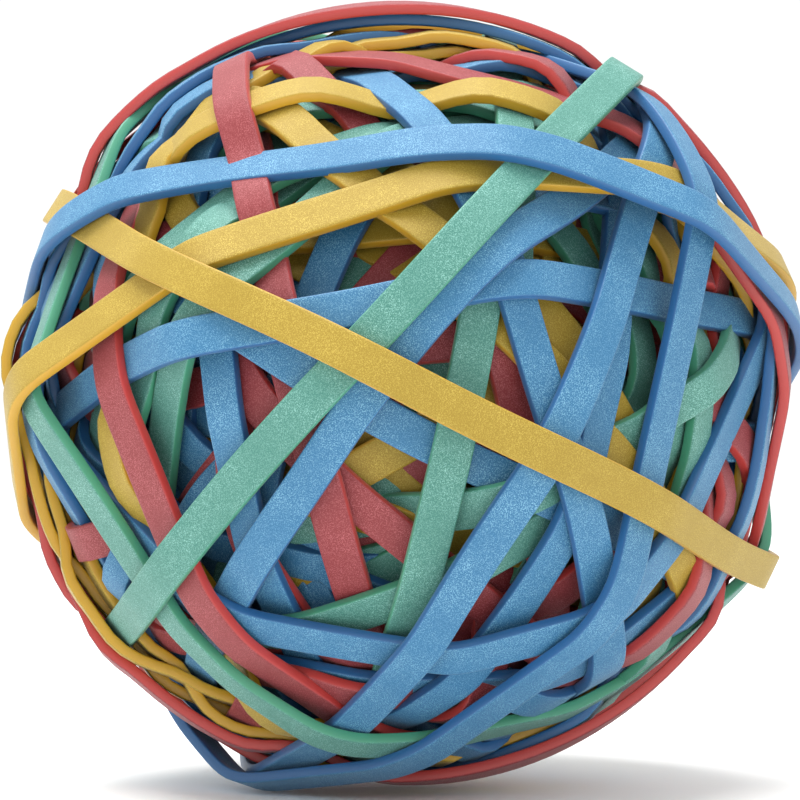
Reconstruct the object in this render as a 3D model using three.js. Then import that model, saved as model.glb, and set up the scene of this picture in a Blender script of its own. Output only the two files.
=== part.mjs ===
// A rubber band ball: flat coloured bands stretched one over another round a wound core.
// Millimetres, +Z up, origin at the middle of the ball. Its shown side faces -Y.
import * as THREE from 'three';

// Driving dimensions.
const CORE_RADIUS = 22.5; // the ball when only its hidden inner bands are on it
const CORE_DETAIL = 7; // subdivisions of each icosahedron edge
const BAND_WIDTH = 3.6; // a stretched No. 32 band, 3.2 mm when cut, lies a little flatter
const BAND_THICKNESS = 1.05;
const CLEARANCE = 0.1; // free gap kept under a band, so that no two solids share a face

// How finely a band feels for what is under it.
const FEELERS_ROUND = 480;
const FEELERS_ACROSS = 9;
const FEELER_MARGIN = 0.27; // more than half the distance between two feelers
const TIMES_FELT = 3; // each time from where the band lay the last time
const MOST_SIDES = 26; // straight spans that one taut band is made of

const RUBBER = {
  blue: new THREE.Color(0x4f8fc4),
  green: new THREE.Color(0x5fb492),
  yellow: new THREE.Color(0xddb840),
  red: new THREE.Color(0xcf5a5c),
  core: new THREE.Color(0x6b4a42),
};
const RUBBER_ROUGHNESS = 0.62;

// The bands in the order they were put on, innermost first: colour, lean, rise and shift.
// Lean is the angle in degrees at which a band runs up to the right across the shown side.
// Rise turns its middle up and to the left of that run, in degrees from the point facing -Y.
// Shift is how many millimetres its plane lies off the middle of the ball, towards the rise.
const WINDING = [
  ['blue', -24, 57, 0],
  ['yellow', -73, -65, 0],
  ['red', 123, 16, 0],
  ['green', -31, -22, 0],
  ['yellow', -24, 10, 0],
  ['green', 75, -59, 0],
  ['red', 54, 9, 0],
  ['green', -74, 23, 0],
  ['yellow', -29, -53, 0],
  ['blue', -1, 13, 8],
  ['yellow', -31, 5, 4],
  ['red', -10, -33, 0],
  ['green', 33, -18, -4.5],
  ['green', 102, -26, 1],
  ['yellow', -14, -15, -4],
  ['yellow', 30, -10, 1],
  ['red', 49, 2, 7],
  ['red', 5, 15, -2.5],
  ['yellow', 1, 15, 9],
  ['blue', 72, 22, -0.5],
  ['red', 66, -55, -0.5],
  ['red', 58, -70, -1],
  ['red', 92, 30, 0],
  ['yellow', 44, 54, 3],
  ['red', 16, -56, -1],
  ['red', 110, -19, 0],
  ['red', 134, 16, 1],
  ['blue', 100, 15, 8],
  ['red', 104, 3, 7],
  ['green', 27, -24, -4.5],
  ['yellow', 132, -21, -4],
  ['blue', -28, 0, -1.5],
  ['green', 79, -4, -3],
  ['green', 32, 47, 0],
  ['green', 102, -80, 0],
  ['blue', 4, -52, -2],
  ['yellow', 89, -79, 0],
  ['green', 49, 37, -1.5],
  ['green', 0, 60, 0],
  ['yellow', 8, 75, 0],
  ['blue', 68, -28, -3],
  ['blue', 110, -16, -4],
  ['blue', 8, 14, 1],
  ['blue', 50, 10, -3.5],
  ['blue', 5, -57, 8],
  ['red', 116, 43, 2],
  ['blue', 76, 68, 2],
  ['red', 75, -83, 0],
  ['red', -33, 64, 2],
  ['blue', 61, -13, -6],
  ['green', -42, -65, 4],
  ['yellow', 15, 33, 0],
  ['blue', 67, -48, 2],
  ['green', 48, 1, 5],
  ['yellow', -27, 0, 1.5],
  ['blue', -5, 30, 6],
];

// The three directions of a band: along its run, towards its middle, and its axis.
function directions(lean, rise) {
  const a = THREE.MathUtils.degToRad(lean);
  const b = THREE.MathUtils.degToRad(rise);
  const along = new THREE.Vector3(Math.cos(a), 0, Math.sin(a));
  const up = new THREE.Vector3(-Math.sin(a), 0, Math.cos(a));
  const front = new THREE.Vector3(0, -1, 0);
  const middle = up.clone().multiplyScalar(Math.sin(b)).addScaledVector(front, Math.cos(b));
  const axis = up.clone().multiplyScalar(Math.cos(b)).addScaledVector(front, -Math.sin(b));
  return { along, middle, axis };
}

// The unit vector in a band's plane at an angle from its middle.
function spoke(band, angle) {
  return band.middle.clone().multiplyScalar(Math.cos(angle)).addScaledVector(band.along, Math.sin(angle));
}

// The middle of the inner face at an angle, for a radius in the band's plane.
function footOf(band, angle, radius) {
  return band.axis.clone().multiplyScalar(band.shift).addScaledVector(spoke(band, angle), radius);
}

// A band lies flat on the ball, so one that is off the middle is tilted. These two unit
// vectors go across its width and out through its thickness.
function acrossDirection(band, angle) {
  const along = band.axis.clone().multiplyScalar(Math.cos(band.tilt));
  return along.addScaledVector(spoke(band, angle), -Math.sin(band.tilt));
}

function outDirection(band, angle) {
  const out = band.axis.clone().multiplyScalar(Math.sin(band.tilt));
  return out.addScaledVector(spoke(band, angle), Math.cos(band.tilt));
}

// How far from the middle of the ball a wound band reaches in a direction, or 0 beside it.
function reach(band, direction) {
  const angle = Math.atan2(direction.dot(band.along), direction.dot(band.middle));
  const radius = spanRadius(band.outside, angle);
  const distance = Math.hypot(radius, band.outsideShift);
  const latitude = Math.asin(direction.dot(band.axis)) - Math.asin(band.outsideShift / distance);
  const beside = latitude * distance;
  return Math.abs(beside) < BAND_WIDTH / 2 + FEELER_MARGIN ? Math.hypot(distance, beside) : 0;
}

// The radius at which a ray at this angle crosses a convex polygon of {angle, radius} corners.
function spanRadius(corners, angle) {
  let low = 0;
  let high = corners.length;
  while (high - low > 1) {
    const half = (low + high) >> 1;
    if (corners[half].angle <= angle) low = half;
    else high = half;
  }
  const start = corners[angle < corners[0].angle ? corners.length - 1 : low];
  const end = corners[angle < corners[0].angle ? 0 : (low + 1) % corners.length];
  const past = Math.sin(angle - start.angle);
  const left = Math.sin(end.angle - angle);
  const whole = Math.sin(end.angle - start.angle);
  return (start.radius * end.radius * whole) / (start.radius * past + end.radius * left);
}

// The points that hold a band up: for each angle, the highest thing across its width.
function supports(band, wound) {
  const points = [];
  for (let i = 0; i < FEELERS_ROUND; i++) {
    const angle = ((i + 0.5) / FEELERS_ROUND) * 2 * Math.PI - Math.PI;
    const foot = footOf(band, angle, spanRadius(band.inside, angle));
    const side = acrossDirection(band, angle);
    let height = CORE_RADIUS;
    for (let j = 0; j < FEELERS_ACROSS; j++) {
      const offset = (j / (FEELERS_ACROSS - 1) - 0.5) * BAND_WIDTH;
      const feeler = foot.clone().addScaledVector(side, offset).normalize();
      for (const under of wound) height = Math.max(height, reach(under, feeler));
    }
    const radius = Math.sqrt((height + CLEARANCE) ** 2 - band.shift ** 2);
    points.push(new THREE.Vector2(radius * Math.cos(angle), radius * Math.sin(angle)));
  }
  return points;
}

const turn = (a, b, c) => (b.x - a.x) * (c.y - b.y) - (b.y - a.y) * (c.x - b.x);

// The convex line that taut rubber takes round its supports, which lie in order of angle.
function pulledTight(points) {
  const first = points.reduce((best, p, i) => (p.length() > points[best].length() ? i : best), 0);
  const line = [];
  for (let i = 0; i <= points.length; i++) {
    const next = points[(first + i) % points.length];
    while (line.length > 1 && turn(line.at(-2), line.at(-1), next) <= 0) line.pop();
    line.push(next);
  }
  line.pop();
  return line;
}

// Where the sides before and after side i meet, if side i is left out.
function meeting(line, i) {
  const n = line.length;
  const a = line[(i + n - 1) % n];
  const b = line[i];
  const c = line[(i + 1) % n];
  const d = line[(i + 2) % n];
  const first = b.clone().sub(a);
  const second = c.clone().sub(d);
  const t = c.clone().sub(b).cross(second) / first.cross(second);
  return b.clone().addScaledVector(first, t);
}

// Leaves out sides, the flattest corners first, so that the band only ever moves outwards.
function withFewSides(line) {
  const corners = line.slice();
  while (corners.length > MOST_SIDES) {
    let best = 0;
    let least = Infinity;
    for (let i = 0; i < corners.length; i++) {
      const b = corners[i];
      const c = corners[(i + 1) % corners.length];
      const lift = Math.abs(turn(b, c, meeting(corners, i))) / b.distanceTo(c);
      if (lift < least) {
        least = lift;
        best = i;
      }
    }
    const merged = meeting(corners, best);
    const last = (best + 1) % corners.length;
    corners[best] = merged;
    corners.splice(last, 1);
  }
  return corners;
}

// Lays a band along its inner corners, each {angle, radius}.
function lay(band, inside) {
  const radius = inside.reduce((sum, corner) => sum + corner.radius, 0) / inside.length;
  band.inside = inside;
  band.tilt = Math.atan2(band.shift, radius);
  const thicker = BAND_THICKNESS * Math.cos(band.tilt);
  band.outside = inside.map((corner) => ({ angle: corner.angle, radius: corner.radius + thicker }));
  band.outsideShift = band.shift + BAND_THICKNESS * Math.sin(band.tilt);
}

// Stretches one band over everything wound before it.
function wind([colour, lean, rise, shift], wound) {
  const band = { colour, shift, ...directions(lean, rise) };
  const start = wound.length ? wound.at(-1).inside[0].radius : CORE_RADIUS;
  lay(band, [-2, 0, 2].map((angle) => ({ angle, radius: start })));
  for (let i = 0; i < TIMES_FELT; i++) {
    const corners = withFewSides(pulledTight(supports(band, wound)));
    const inside = corners.map((p) => ({ angle: Math.atan2(p.y, p.x), radius: p.length() }));
    lay(band, inside.sort((a, b) => a.angle - b.angle));
  }
  return band;
}

// A closed ring of rectangular section: four corners at each bend, joined to the next bend.
function ringGeometry(band) {
  const positions = [];
  for (const { angle, radius } of band.inside) {
    const foot = footOf(band, angle, radius);
    const side = acrossDirection(band, angle);
    const out = outDirection(band, angle);
    for (const [half, up] of [[-1, 0], [1, 0], [1, 1], [-1, 1]]) {
      const corner = foot.clone().addScaledVector(side, (half * BAND_WIDTH) / 2);
      corner.addScaledVector(out, up * BAND_THICKNESS);
      positions.push(corner.x, corner.y, corner.z);
    }
  }
  const index = [];
  const bends = band.inside.length;
  for (let i = 0; i < bends; i++) {
    const here = i * 4;
    const there = ((i + 1) % bends) * 4;
    for (let k = 0; k < 4; k++) {
      const next = (k + 1) % 4;
      index.push(here + k, here + next, there + next, here + k, there + next, there + k);
    }
  }
  const geometry = new THREE.BufferGeometry();
  geometry.setAttribute('position', new THREE.Float32BufferAttribute(positions, 3));
  geometry.setIndex(index);
  geometry.computeVertexNormals();
  return geometry;
}

function rubber(colour) {
  return new THREE.MeshStandardMaterial({ color: RUBBER[colour], roughness: RUBBER_ROUGHNESS, metalness: 0 });
}

// The inner bands, wound too tightly together to be told apart.
function makeCore() {
  const mesh = new THREE.Mesh(new THREE.IcosahedronGeometry(CORE_RADIUS, CORE_DETAIL), rubber('core'));
  mesh.name = 'wound_core';
  return mesh;
}

function makeBand(band, number) {
  const mesh = new THREE.Mesh(ringGeometry(band), rubber(band.colour));
  mesh.name = `band_${String(number).padStart(2, '0')}_${band.colour}`;
  return mesh;
}

const ball = new THREE.Group();
ball.add(makeCore());
const wound = [];
for (const row of WINDING) {
  wound.push(wind(row, wound));
  ball.add(makeBand(wound.at(-1), wound.length));
}

export default ball;
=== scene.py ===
"""A rubber band ball: flat coloured rubber bands stretched one over another, on a pale floor."""
import bpy
import math
import numpy as np
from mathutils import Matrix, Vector


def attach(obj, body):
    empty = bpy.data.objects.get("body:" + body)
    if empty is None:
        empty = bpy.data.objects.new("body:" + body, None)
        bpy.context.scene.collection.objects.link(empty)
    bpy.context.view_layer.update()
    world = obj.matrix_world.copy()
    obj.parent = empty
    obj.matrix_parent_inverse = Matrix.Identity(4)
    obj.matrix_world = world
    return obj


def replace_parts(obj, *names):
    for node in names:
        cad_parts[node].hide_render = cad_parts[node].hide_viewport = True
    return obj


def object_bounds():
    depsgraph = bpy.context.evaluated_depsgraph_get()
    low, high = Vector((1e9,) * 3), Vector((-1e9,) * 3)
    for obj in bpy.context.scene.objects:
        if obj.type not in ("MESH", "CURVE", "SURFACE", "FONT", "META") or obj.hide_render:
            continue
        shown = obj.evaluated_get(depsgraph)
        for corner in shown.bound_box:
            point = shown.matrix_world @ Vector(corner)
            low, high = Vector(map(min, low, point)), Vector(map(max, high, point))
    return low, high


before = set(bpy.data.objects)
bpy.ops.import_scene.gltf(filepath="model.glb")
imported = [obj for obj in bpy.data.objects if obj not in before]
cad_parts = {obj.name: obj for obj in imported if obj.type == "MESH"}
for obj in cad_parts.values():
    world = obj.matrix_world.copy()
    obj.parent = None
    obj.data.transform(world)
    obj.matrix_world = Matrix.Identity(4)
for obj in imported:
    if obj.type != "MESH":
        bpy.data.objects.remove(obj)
cad_low, cad_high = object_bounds()
MM = 0.001

# ---------------------------------------------------------------- sizes, in millimetres

BAND_WIDTH = 3.6
BAND_THICKNESS = 1.05
CORNER = 0.16  # radius of a cut edge
SHOULDER = 0.30  # flat strip beside a cut edge that keeps the faces flat
PLACES = 360  # points at which a band's course is worked out
OUTER_SECTIONS = 240  # sections round a band that stands for a CAD node
INNER_SECTIONS = 140  # sections round one of the bands threaded between them
BEND_SOFTNESS = 1.3  # how far a bend in thick rubber spreads along the band
SWAY = 0.32  # how far a band strays to the side of its plane
TWIST = math.radians(3.0)  # how far a band rolls about its own length
WIDTH_SPREAD = 0.03
SAME_BEND = 0.001  # radians within which a CAD ring's corners belong to one bend
OUTER_SEED = 100  # the first band's seed for sway, twist and width; each band after it adds one
INNER_SEED = 500
ROUND = np.arange(PLACES) / PLACES * 2 * np.pi - np.pi

# ---------------------------------------------------------------- where the bands run


class Band:
    """One closed loop: its plane, and how far out its middle line lies at each place round it."""

    def __init__(self, axis, along, height, radius, colour, width=BAND_WIDTH):
        self.axis = axis
        self.along = along
        self.middle = np.cross(along, axis)
        self.height = height
        self.radius = radius
        self.colour = colour
        self.width = width
        self.tilt = math.atan2(height, radius.mean())

    def spokes(self, turn):
        """Unit vectors in the band's plane at these angles, one a row."""
        return np.cos(turn)[:, None] * self.middle + np.sin(turn)[:, None] * self.along


def polygon_radius(corner_turn, corner_radius, turn):
    """Radius of a closed polygon at any angles. A straight side from (a, A) to (b, B) in polar form has
    radius A B sin(b - a) / (A sin(t - a) + B sin(b - t))."""
    last = np.searchsorted(corner_turn, turn, side="right") - 1
    following = (last + 1) % len(corner_turn)
    a, b = corner_turn[last], corner_turn[following]
    start, end = corner_radius[last], corner_radius[following]
    return start * end * np.sin(b - a) / (start * np.sin(turn - a) + end * np.sin(b - turn))


def softened(values, spread_mm, radius_mm):
    """Values round a ring, blurred along it by a bell curve of this spread."""
    waves = np.fft.rfft(values)
    step = 2 * np.pi * radius_mm / PLACES
    pitch = np.fft.rfftfreq(PLACES, step)
    return np.fft.irfft(waves * np.exp(-2 * (np.pi * pitch * spread_mm) ** 2), PLACES)


def cad_band(name, node):
    """Reads a band's plane and bends from its CAD node. A ring's corners spread least along its axis,
    and the four corners at each bend have one angle and their mean lies on the middle line."""
    corners = np.empty(len(node.data.vertices) * 3)
    node.data.vertices.foreach_get("co", corners)
    corners = np.unique((corners.reshape(-1, 3) / MM).round(3), axis=0)
    _, directions = np.linalg.eigh(np.cov(corners.T))
    axis, along = directions[:, 0], directions[:, 2]
    middle = np.cross(along, axis)
    turn = np.arctan2(corners @ along, corners @ middle)
    corners = corners[np.argsort(turn)]
    turn = np.sort(turn)
    starts = np.diff(turn, prepend=turn[-1] - 2 * np.pi) > SAME_BEND
    group = (np.cumsum(starts) - 1) % starts.sum()
    count = np.bincount(group)
    centre = np.stack([np.bincount(group, corners[:, i]) for i in range(3)], 1) / count[:, None]
    bend_turn = np.arctan2(centre @ along, centre @ middle)
    bend_radius = np.hypot(centre @ along, centre @ middle)
    order = np.argsort(bend_turn)
    radius = polygon_radius(bend_turn[order], bend_radius[order], ROUND)
    radius = softened(radius, BEND_SOFTNESS, radius.mean())
    return Band(axis, along, float((centre @ axis).mean()), radius, name.split("_")[2])


def meets(band, rays):
    """For rays from the middle of the ball: how far out they pass the band's middle line, and how far
    to its side. The line is at angle t in the band's plane and at its latitude off that plane."""
    turn = np.arctan2(rays @ band.along, rays @ band.middle)
    radius = np.interp(turn, ROUND, band.radius, period=2 * np.pi)
    out = np.hypot(radius, band.height)
    beside = (np.arcsin(np.clip(rays @ band.axis, -1, 1)) - np.arctan2(band.height, radius)) * out
    return out, beside


LAST_WOUND = 16  # CAD bands that others are steered under on the shown side
SHOWN = 0.3  # cosine of the angle from -Y at which the shown side ends
cad_names = sorted(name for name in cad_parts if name.startswith("band_"))
outer_bands = [cad_band(name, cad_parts[name]) for name in cad_names]
last_wound = outer_bands[-LAST_WOUND:]

# ---------------------------------------------------------------- inner bands between them

# Bands that show between the CAD ones, mostly near the outline: colour, lean, rise, shift, level and
# side. Lean is the angle at which one runs up to the right across the shown side, rise turns it up and
# left of that run, shift is how far its plane lies off the middle, level is how far out it runs, and
# side is where it comes up on the shown side.
THREADED_BANDS = [
    ("red", 12, 83, 0, 38.4, "top"),
    ("blue", -40, 84, 0, 38.4, "top"),
    ("red", 10, -78, 0, 37.2, "bottom"),
    ("yellow", 110, 82, 0, 37.4, "left"),
    ("yellow", -40, -79, 0, 36.9, "left"),
    ("blue", 50, 80, 0, 36.6, "left"),
    ("blue", 24, 72, 0, 37.2, "top"),
    ("yellow", -1, 56, 0, 37.2, "top"),
    ("yellow", -47, 17, 3.5, 36.6, "top"),
    ("green", 86, -5, -7, 36.3, "top"),
    ("red", 107, 8, 4, 36.3, "top"),
    ("blue", 70, -74, -1, 36.9, "right"),
    ("red", 60, -66, 0, 36.0, "right"),
    ("yellow", 137, -19, -1, 35.7, "right"),
    ("yellow", 71, -62, 0, 35.4, "right"),
    ("green", 17, -21, 0, 34.8, "right"),
    ("green", 75, -59, 0, 34.5, "right"),
    ("green", -70, 59, 0, 34.5, "right"),
    ("green", 90, -55, 0, 33.9, "right"),
    ("red", 1, -55, 0, 33.6, "bottom"),
    ("green", 55, 45, -0.5, 33.6, "left"),
    ("red", 30, -46, 0, 33.3, "bottom"),
    ("green", 71, -38, 0, 31.2, "bottom"),
]
LIFT = 0.8  # how strongly a band comes up on its side
SIDES = {
    "top": (0, 0, LIFT),
    "bottom": (0, 0, -LIFT),
    "right": (LIFT, 0, 0),
    "left": (-LIFT, 0, 0),
    "all": (0, 0, 0),
}
WINDING_SEED = 7
FILLING_BANDS = 80  # the rest, in any direction
OUTLINE_BANDS = 20  # the first of them, which lie near the outline
OUTLINE_PULL = 3  # how strongly their axes are drawn towards Y
FILLING_SHIFT = 4.0  # spread of how far their planes lie off the middle
INNER_WIDTH = 3.5
LEVELS = np.arange(23.2, 38.5, 0.3)  # distances from the middle at which a band may lie
FILLING_LEVEL = 36.4
SLANT = 1.6  # how much lower than its level a band runs on the sides that it does not come up on, in mm
DEEP_LEVEL = 26.0  # on the shown side, under the CAD bands that are seen there
THREADED_DEEP = (0.75, 0.95)  # cosines of the angle from -Y where a band turns in, and is deep
FILLING_DEEP = (0.25, 0.75)
FEELERS_ACROSS = 5  # lines across a band's width on which it feels for others
FREE_BESIDE = 0.1  # gap kept beside another band
FREE_ABOVE = 1.15  # distance between middle lines, in thicknesses, at which bands are no longer crowded
CROWDING_LEVELS = (27.0, 34.0)  # sharing space costs little below the first, and in full from the second
DEEP_CROWDING = 0.1  # share of the cost that is left below the first
WRONG_LEVEL = 2.5  # the costs that a band's course is weighed by
CROWDED = 40.0
ON_TOP = 150.0
CLIMB = 16.0
COLOURS = ["blue", "green", "yellow", "red"]
COLOUR_SHARES = [0.26, 0.21, 0.28, 0.25]


def smooth_step(value, limits):
    """0 below the first limit, 1 above the second and 3 t^2 - 2 t^3 between them."""
    t = np.clip((value - limits[0]) / (limits[1] - limits[0]), 0, 1)
    return t * t * (3 - 2 * t)


def wanted_level(spokes, level, deep, side):
    """The level wanted in each direction, which sinks on the shown side, and least towards this side."""
    towards = spokes @ np.array(SIDES[side])
    level = level - SLANT * (LIFT - towards)
    return level + (DEEP_LEVEL - level) * smooth_step(-spokes[:, 1] - towards, deep)


def crowding(band, wanted, others):
    """A cost for each place and level: how far it is from the level wanted there, how much rubber of
    other bands would share the space, and lying on a band that is higher than the wanted level or, on
    the shown side, that was among the last to be wound."""
    cost = WRONG_LEVEL * (LEVELS[None, :] - wanted[:, None]) ** 2
    share = DEEP_CROWDING + (1 - DEEP_CROWDING) * smooth_step(LEVELS, CROWDING_LEVELS)
    crowded = CROWDED * share[None, :]
    spokes = band.spokes(ROUND)
    for offset in np.linspace(-0.5, 0.5, FEELERS_ACROSS) * band.width:
        latitude = band.tilt + offset / wanted[:, None]
        rays = np.sin(latitude) * band.axis + np.cos(latitude) * spokes
        for other in others:
            out, beside = meets(other, rays)
            near = np.abs(beside) < other.width / 2 + FREE_BESIDE
            gap = LEVELS[None, :] - out[near, None]
            cost[near] += crowded * np.clip(FREE_ABOVE - np.abs(gap) / BAND_THICKNESS, 0, 1)
            kept_on_top = (other in last_wound) & (rays[near, 1] < -SHOWN)
            over = kept_on_top | (out[near] > wanted[near])
            cost[near] += ON_TOP * ((gap > 0) & over[:, None])
    return cost


def easiest_levels(cost):
    """The cheapest closed walk through the levels, found by going twice round and keeping the middle
    of the walk: at each step it may stay or move by up to two levels, and moving costs its square."""
    steps = np.arange(-2, 3)
    total = cost[0].copy()
    came = np.zeros((2 * PLACES, len(LEVELS)), int)
    for i in range(1, 2 * PLACES):
        padded = np.pad(total, 2, constant_values=np.inf)
        options = np.stack([padded[2 + s:len(LEVELS) + 2 + s] + CLIMB * s * s for s in steps])
        best = options.argmin(0)
        came[i] = np.arange(len(LEVELS)) + steps[best]
        total = options.min(0) + cost[i % PLACES]
    level = int(total.argmin())
    walk = np.empty(2 * PLACES, int)
    for i in range(2 * PLACES - 1, -1, -1):
        walk[i] = level
        level = came[i][level]
    return np.roll(walk[PLACES // 2:PLACES // 2 + PLACES], PLACES // 2)


def threaded(axis, along, height, colour, level, deep, side, others):
    """A band on this plane that takes the cheapest course: near the level wanted at each place and,
    as far as it finds any, where there is room."""
    flat = math.sqrt(level ** 2 - height ** 2)
    band = Band(axis, along, height, np.full(PLACES, flat), colour, INNER_WIDTH)
    wanted = wanted_level(band.spokes(ROUND), level, deep, side)
    distance = LEVELS[easiest_levels(crowding(band, wanted, others))]
    band.radius = softened(np.sqrt(distance ** 2 - height ** 2), BEND_SOFTNESS, flat)
    return band


def placed_band(colour, lean, rise, shift, level, side, others):
    """A band of the table above."""
    lean, rise = math.radians(lean), math.radians(rise)
    along = np.array([math.cos(lean), 0, math.sin(lean)])
    up = np.array([-math.sin(lean), 0, math.cos(lean)])
    axis = up * math.cos(rise) + np.array([0, math.sin(rise), 0])
    return threaded(axis, along, shift, colour, level, THREADED_DEEP, side, others)


def filling_band(rng, others, pull):
    """A band a little off the middle, in a random direction, with its axis drawn this much towards Y."""
    axis = rng.normal(size=3) + np.array([0, pull, 0])
    axis /= np.linalg.norm(axis)
    along = np.cross(axis, rng.normal(size=3))
    along /= np.linalg.norm(along)
    height = float(rng.normal() * FILLING_SHIFT)
    colour = str(rng.choice(COLOURS, p=COLOUR_SHARES))
    return threaded(axis, along, height, colour, FILLING_LEVEL, FILLING_DEEP, "all", others)


def wind_inner_bands():
    """Threads more bands between the CAD ones, where the real ball has more rubber. Where they find no
    room they pass through others, mostly deep inside."""
    rng = np.random.default_rng(WINDING_SEED)
    inner = []
    for row in THREADED_BANDS:
        inner.append(placed_band(*row, outer_bands + inner))
    for i in range(FILLING_BANDS):
        pull = OUTLINE_PULL if i < OUTLINE_BANDS else 0
        inner.append(filling_band(rng, outer_bands + inner, pull))
    return inner


inner_bands = wind_inner_bands()

# ---------------------------------------------------------------- rubber

COLOUR_HEX = {
    "blue": {"face": 0x1A5F88, "side": 0x1D5688, "dust": 0x78ABC4},
    "green": {"face": 0x357265, "side": 0x3F8A6C, "dust": 0x88BAB0},
    "yellow": {"face": 0x8E7410, "side": 0xB58A14, "dust": 0xBEA646},
    "red": {"face": 0x761B20, "side": 0xAC3430, "dust": 0xAA5C60},
}
FINE_GRAIN = 0.095  # mm between the grains of talc that cling to the faces
DUST_PATCH = 5.0  # mm across a patch of caught dust
RUBBER_IOR = 1.52


def linear(colour_hex):
    """sRGB hex to a linear colour with alpha."""
    parts = [(colour_hex >> shift & 255) / 255 for shift in (16, 8, 0)]
    parts = [c / 12.92 if c <= 0.04045 else ((c + 0.055) / 1.055) ** 2.4 for c in parts]
    return (*parts, 1.0)


def add(tree, kind, settings=None, **links):
    """One node: settings go to its properties or unlinked sockets, and links join its sockets."""
    node = tree.nodes.new(kind)
    for key, value in (settings or {}).items():
        if isinstance(key, str) and hasattr(node, key):
            setattr(node, key, value)
        else:
            node.inputs[key].default_value = value
    for key, source in links.items():
        socket = node.inputs[int(key[1:])] if key[0] == "i" and key[1:].isdigit() else node.inputs[key]
        tree.links.new(source, socket)
    return node


def moulded_rubber(colour):
    """Natural rubber, moulded as a tube, cured, dusted with talc and cut into bands. The faces have
    the tube's powdery skin, paler and dull; the cut sides are bare, deeper in colour and smoother."""
    material = bpy.data.materials.new(f"talc_dusted_rubber_{colour}")
    material.use_nodes = True
    tree = material.node_tree
    tree.nodes.clear()
    hexes = COLOUR_HEX[colour]
    place = add(tree, "ShaderNodeTexCoord").outputs["Object"]
    strip = add(tree, "ShaderNodeUVMap", {"uv_map": "along_and_across"}).outputs["UV"]
    across = add(tree, "ShaderNodeSeparateXYZ", Vector=strip).outputs["Y"]
    side_on = add(tree, "ShaderNodeMath", {"operation": "ABSOLUTE"}, i0=across).outputs[0]
    edge = BAND_WIDTH / 2
    cut = add(
        tree, "ShaderNodeMapRange", {"From Min": edge - 0.12, "From Max": edge + 0.06}, Value=side_on
    ).outputs[0]
    # Talc grains are a few hundredths of a millimetre, drawn coarser here so that they show.
    grain = add(
        tree, "ShaderNodeTexNoise", {"Scale": 1 / (FINE_GRAIN * MM), "Detail": 2.0, "Roughness": 0.7},
        Vector=place,
    ).outputs[0]
    patch = add(
        tree, "ShaderNodeTexNoise", {"Scale": 1 / (DUST_PATCH * MM), "Detail": 4.0, "Roughness": 0.65},
        Vector=place,
    ).outputs[0]
    speckle = add(
        tree, "ShaderNodeMapRange", {"From Min": 0.50, "From Max": 0.61, "To Max": 1.0}, Value=grain
    ).outputs[0]
    cloud = add(
        tree, "ShaderNodeMapRange", {"From Min": 0.40, "From Max": 0.70, "To Min": 0.40, "To Max": 0.95},
        Value=patch,
    ).outputs[0]
    dust = add(tree, "ShaderNodeMath", {"operation": "MULTIPLY"}, i0=speckle, i1=cloud).outputs[0]
    face, bare, dusty = (linear(hexes[part]) for part in ("face", "side", "dust"))
    skin = add(
        tree, "ShaderNodeMix", {"data_type": "RGBA", 6: face, 7: dusty}, i0=dust
    ).outputs[2]
    colours = add(tree, "ShaderNodeMix", {"data_type": "RGBA", 7: bare}, i0=cut, i6=skin)
    rough = add(tree, "ShaderNodeMapRange", {"To Min": 0.62, "To Max": 0.42}, Value=cut).outputs[0]
    bump = add(
        tree, "ShaderNodeBump", {"Strength": 0.35, "Distance": 0.04 * MM}, Height=grain
    ).outputs[0]
    shader = add(
        tree, "ShaderNodeBsdfPrincipled", {"IOR": RUBBER_IOR, "Sheen Weight": 0.08},
        **{"Base Color": colours.outputs[2], "Roughness": rough, "Normal": bump},
    )
    add(tree, "ShaderNodeOutputMaterial", Surface=shader.outputs[0])
    return material


rubber = {colour: moulded_rubber(colour) for colour in COLOURS}

# ---------------------------------------------------------------- bands as meshes


def section(width):
    """Corners of a band's section as (across, out), clockwise from the left end of its outer face's
    flat part: a rectangle whose edges are eased by one middle point each."""
    half, tall = width / 2, BAND_THICKNESS / 2
    inset = CORNER * (1 - math.sqrt(0.5))
    quarter = [
        (half - CORNER - SHOULDER, tall),
        (half - CORNER, tall),
        (half - inset, tall - inset),
        (half, tall - CORNER),
    ]
    right = quarter + [(x, -y) for x, y in reversed(quarter)]
    return np.array([(-half + CORNER + SHOULDER, tall)] + right + [(-x, -y) for x, y in right[:-1]])


def wandering(rng, turn, slowest, fastest):
    """A smooth random line round a ring: a few waves of random phase, about 1 high."""
    waves = np.arange(slowest, fastest + 1)
    heights = rng.normal(size=len(waves)) / np.sqrt(len(waves))
    phases = rng.uniform(0, 2 * np.pi, len(waves))
    return (heights * np.cos(np.outer(turn, waves) + phases)).sum(1)[:, None]


def unit(rows):
    """The rows scaled to length 1."""
    return rows / np.linalg.norm(rows, axis=1)[:, None]


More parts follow.
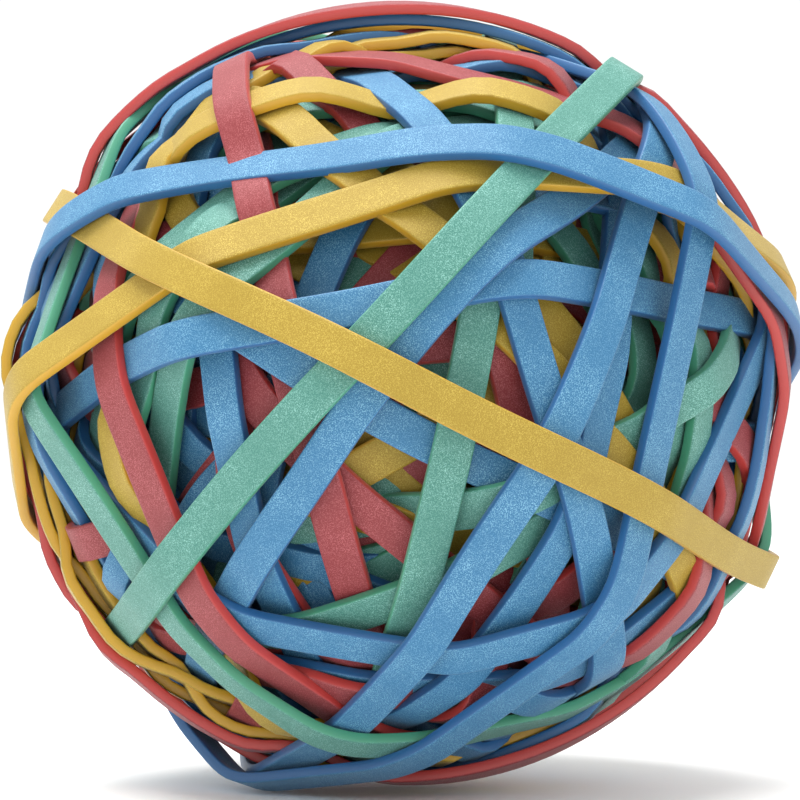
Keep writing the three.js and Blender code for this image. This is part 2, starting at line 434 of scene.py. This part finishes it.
def strip_places(band, sections, points, seed):
    """Corners of a strip carried along the band's middle line. At each place the section stands across
    the line's tangent T: out is the tilted spoke made square to T, and side is T x out."""
    rng = np.random.default_rng(seed)
    turn = np.arange(sections) / sections * 2 * np.pi - np.pi
    spokes = band.spokes(turn)
    radius = np.interp(turn, ROUND, band.radius, period=2 * np.pi)[:, None]
    line = band.height * band.axis + radius * spokes
    tangent = unit(np.roll(line, -1, 0) - np.roll(line, 1, 0))
    out = math.sin(band.tilt) * band.axis + math.cos(band.tilt) * spokes
    out = unit(out - (out * tangent).sum(1)[:, None] * tangent)
    side = np.cross(tangent, out)
    roll = TWIST * wandering(rng, turn, 2, 7)
    side, out = np.cos(roll) * side + np.sin(roll) * out, np.cos(roll) * out - np.sin(roll) * side
    line = line + SWAY * wandering(rng, turn, 2, 6) * side
    across = points[:, 0] * (1 + WIDTH_SPREAD * wandering(rng, turn, 1, 5))
    return line[:, None] + across[:, :, None] * side[:, None] + points[None, :, 1:] * out[:, None]


def make_band(name, band, sections, seed):
    """One rubber band as a mesh, with a UV map in millimetres: along it, and round its section from the
    middle of the outer face."""
    points = section(band.width)
    count = len(points)
    corners = strip_places(band, sections, points, seed).reshape(-1, 3) * MM
    place, spot = np.divmod(np.arange(sections * count)[:, None], count)
    place = place + np.array([0, 0, 1, 1])
    spot = spot + np.array([0, 1, 1, 0])
    mesh = bpy.data.meshes.new(name)
    mesh.from_pydata(corners.tolist(), [], (place % sections * count + spot % count).tolist())
    mesh.shade_smooth()
    edges = np.linalg.norm(np.roll(points, -1, 0) - points, axis=1)
    passed = np.concatenate([[0], np.cumsum(edges)])
    whole = passed[-1]
    across = (passed[spot] - edges[0] / 2 + whole / 2) % whole - whole / 2
    along = place * (2 * np.pi * band.radius.mean() / sections)
    strip = mesh.uv_layers.new(name="along_and_across")
    strip.data.foreach_set("uv", np.stack([along, across], -1).ravel())
    mesh.materials.append(rubber[band.colour])
    piece = bpy.data.objects.new(name, mesh)
    bpy.context.scene.collection.objects.link(piece)
    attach(piece, "root")
    return piece


for number, (name, band) in enumerate(zip(cad_names, outer_bands)):
    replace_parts(make_band(f"rubber_{name}", band, OUTER_SECTIONS, OUTER_SEED + number), name)
for number, band in enumerate(inner_bands):
    name = f"inner_band_{number + 1:02d}_{band.colour}"
    make_band(name, band, INNER_SECTIONS, INNER_SEED + number)

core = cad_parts["wound_core"]
core.material_slots[0].link = "OBJECT"
core.material_slots[0].material = rubber["red"]

# ---------------------------------------------------------------- floor, light and camera

BALL_RADIUS = 38.4  # mm
CAMERA_AWAY = 9.0 * BALL_RADIUS
BALL_SHARE = 0.9875  # of the frame's half-width
FLOOR_HEX = 0xFBFBFA
FLOOR_REACH = 4.0  # metres from the ball to each side of the floor
ROOM_HEX = 0xFFFFFF
ROOM_STRENGTH = 1.05


def plain_paint():
    """Matt white emulsion, rolled: no pattern that could draw the eye from the ball."""
    material = bpy.data.materials.new("matt_white_paint")
    material.use_nodes = True
    shader = material.node_tree.nodes["Principled BSDF"]
    shader.inputs["Base Color"].default_value = linear(FLOOR_HEX)
    shader.inputs["Roughness"].default_value = 0.9
    return material


def lay_floor():
    """A flat sheet at the height of the ball's lowest point."""
    mesh = bpy.data.meshes.new("floor")
    signs = [(-1, -1), (1, -1), (1, 1), (-1, 1)]
    corners = [(x * FLOOR_REACH, y * FLOOR_REACH, cad_low.z) for x, y in signs]
    mesh.from_pydata(corners, [], [(0, 1, 2, 3)])
    mesh.materials.append(plain_paint())
    floor = bpy.data.objects.new("floor", mesh)
    bpy.context.scene.collection.objects.link(floor)


def add_light(name, place_mm, size_mm, watts):
    """A square soft box that faces the middle of the ball."""
    data = bpy.data.lights.new(name, "AREA")
    data.size = size_mm * MM
    data.energy = watts
    lamp = bpy.data.objects.new(name, data)
    lamp.location = Vector(place_mm) * MM
    lamp.rotation_euler = (-lamp.location).to_track_quat("-Z", "Y").to_euler()
    bpy.context.scene.collection.objects.link(lamp)


def add_camera():
    """A camera on -Y, level with the ball, which fills this share of its view."""
    data = bpy.data.cameras.new("camera")
    half_view = math.tan(math.asin(BALL_RADIUS / CAMERA_AWAY)) / BALL_SHARE
    data.lens = data.sensor_width / 2 / half_view
    camera = bpy.data.objects.new("camera", data)
    camera.location = (0, -CAMERA_AWAY * MM, 0)
    camera.rotation_euler = (math.pi / 2, 0, 0)
    bpy.context.scene.collection.objects.link(camera)
    bpy.context.scene.camera = camera


lay_floor()
add_light("top_softbox", (-100, -80, 560), 420, 5.8)
add_light("front_fill", (120, -560, 120), 500, 0.4)
add_camera()
world = bpy.data.worlds.new("pale_room")
world.use_nodes = True
world.node_tree.nodes["Background"].inputs["Color"].default_value = linear(ROOM_HEX)
world.node_tree.nodes["Background"].inputs["Strength"].default_value = ROOM_STRENGTH
bpy.context.scene.world = world
bpy.context.scene.view_settings.view_transform = "Standard"
